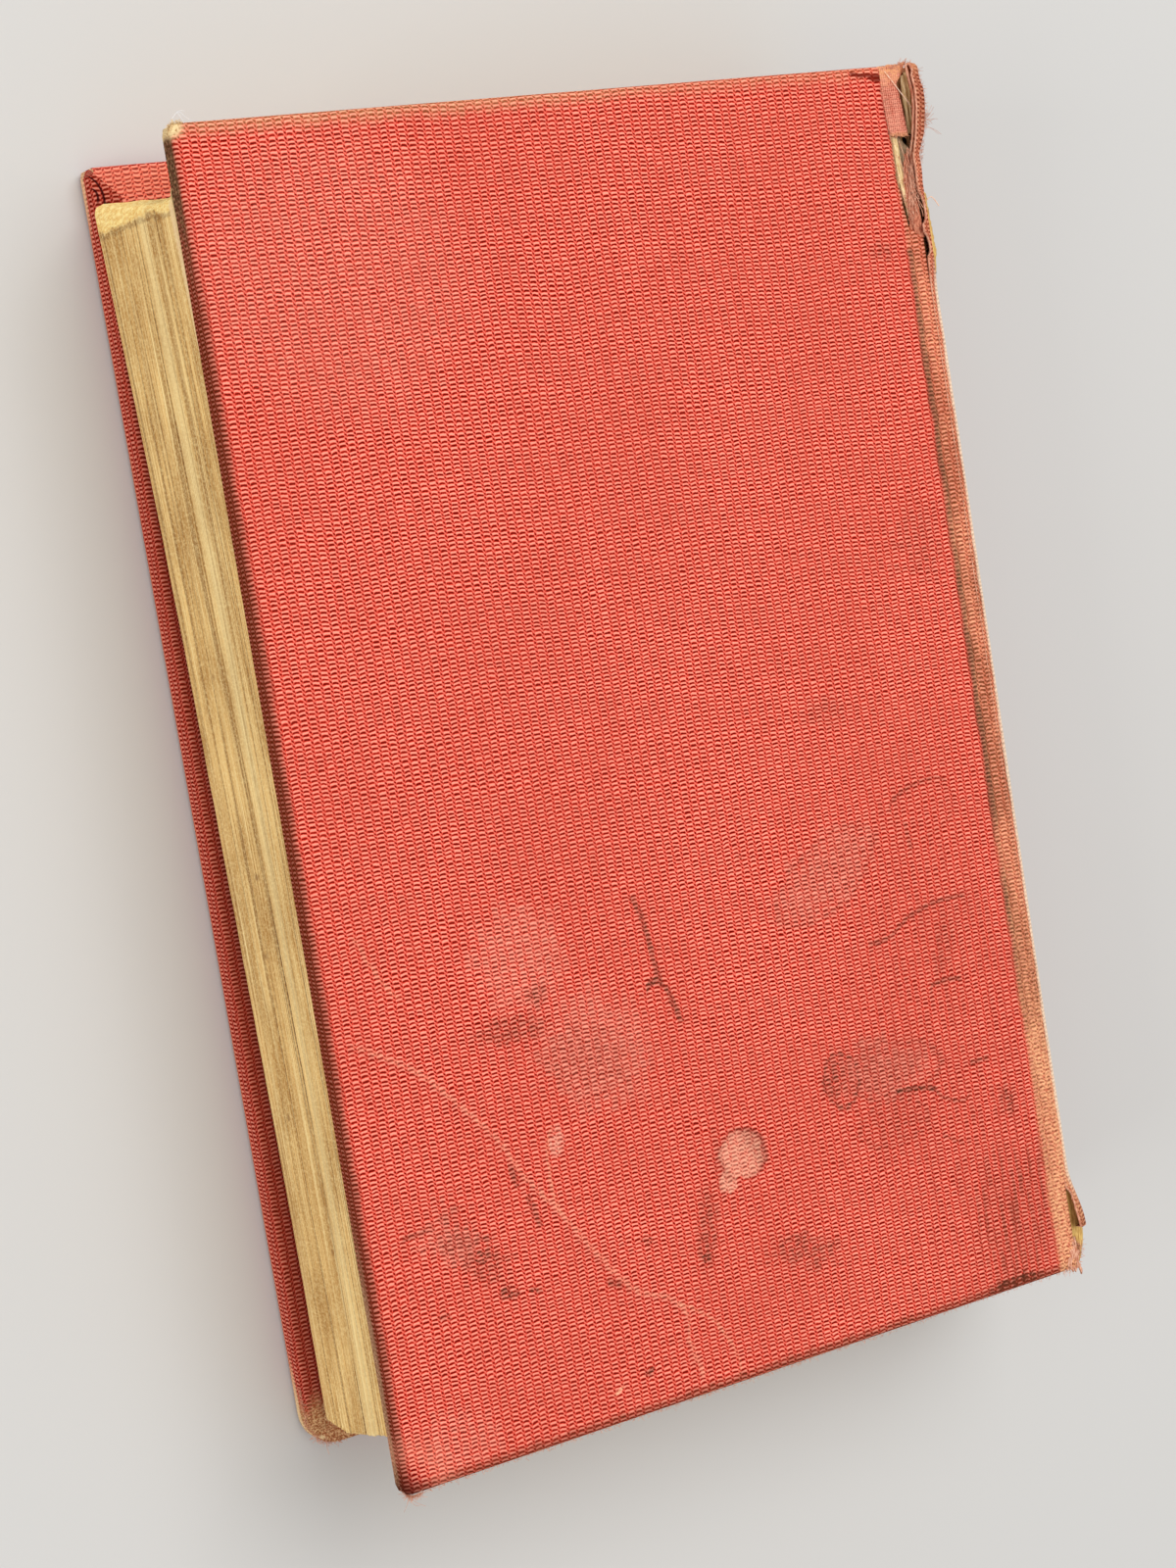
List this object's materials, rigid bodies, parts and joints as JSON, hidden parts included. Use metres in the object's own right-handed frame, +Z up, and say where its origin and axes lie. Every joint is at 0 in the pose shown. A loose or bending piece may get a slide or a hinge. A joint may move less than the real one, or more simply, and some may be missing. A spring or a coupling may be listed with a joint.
{
  "type": "hardback book",
  "caption": "Worn cloth-bound hardback book with a rounded spine, hinged board covers and a solid block of aged pages.",
  "frame": {"origin": "middle of the closed book's underside, which is the outer face of the front cover it lies on", "axes": "+Y towards the head of the book, +X towards the spine, +Z up out of the rear cover"},
  "size_m": [0.1262, 0.19, 0.0358],
  "materials": {
    "page_paper": "matte, browned",
    "endpaper": "matte, yellowed",
    "lining_paper": "matte",
    "spine_card": "matte",
    "binder_board": "matte",
    "gauze": "matte",
    "book_cloth": "bead grain, faded"
  },
  "bodies": {
    "text_block": {"text_block": "page_paper", "front_flyleaf": "endpaper", "rear_flyleaf": "endpaper", "mull": "gauze", "spine_lining": "lining_paper", "spine_inlay": "spine_card", "spine_cloth": "book_cloth"},
    "front_cover": {"front_board": "binder_board", "front_cloth": "book_cloth", "front_pastedown": "endpaper"},
    "rear_cover": {"rear_board": "binder_board", "rear_cloth": "book_cloth", "rear_pastedown": "endpaper"}
  },
  "joints": [
    {"name": "front_joint", "type": "hinge", "parent": "text_block", "child": "front_cover", "pos_m": [0.0564, 0, 0], "axis": [0, -1, 0], "range_deg": [0, 180]},
    {"name": "rear_joint", "type": "hinge", "parent": "text_block", "child": "rear_cover", "pos_m": [0.0564, 0, 0.0358], "axis": [0, 1, 0], "range_deg": [0, 180]}
  ]
}
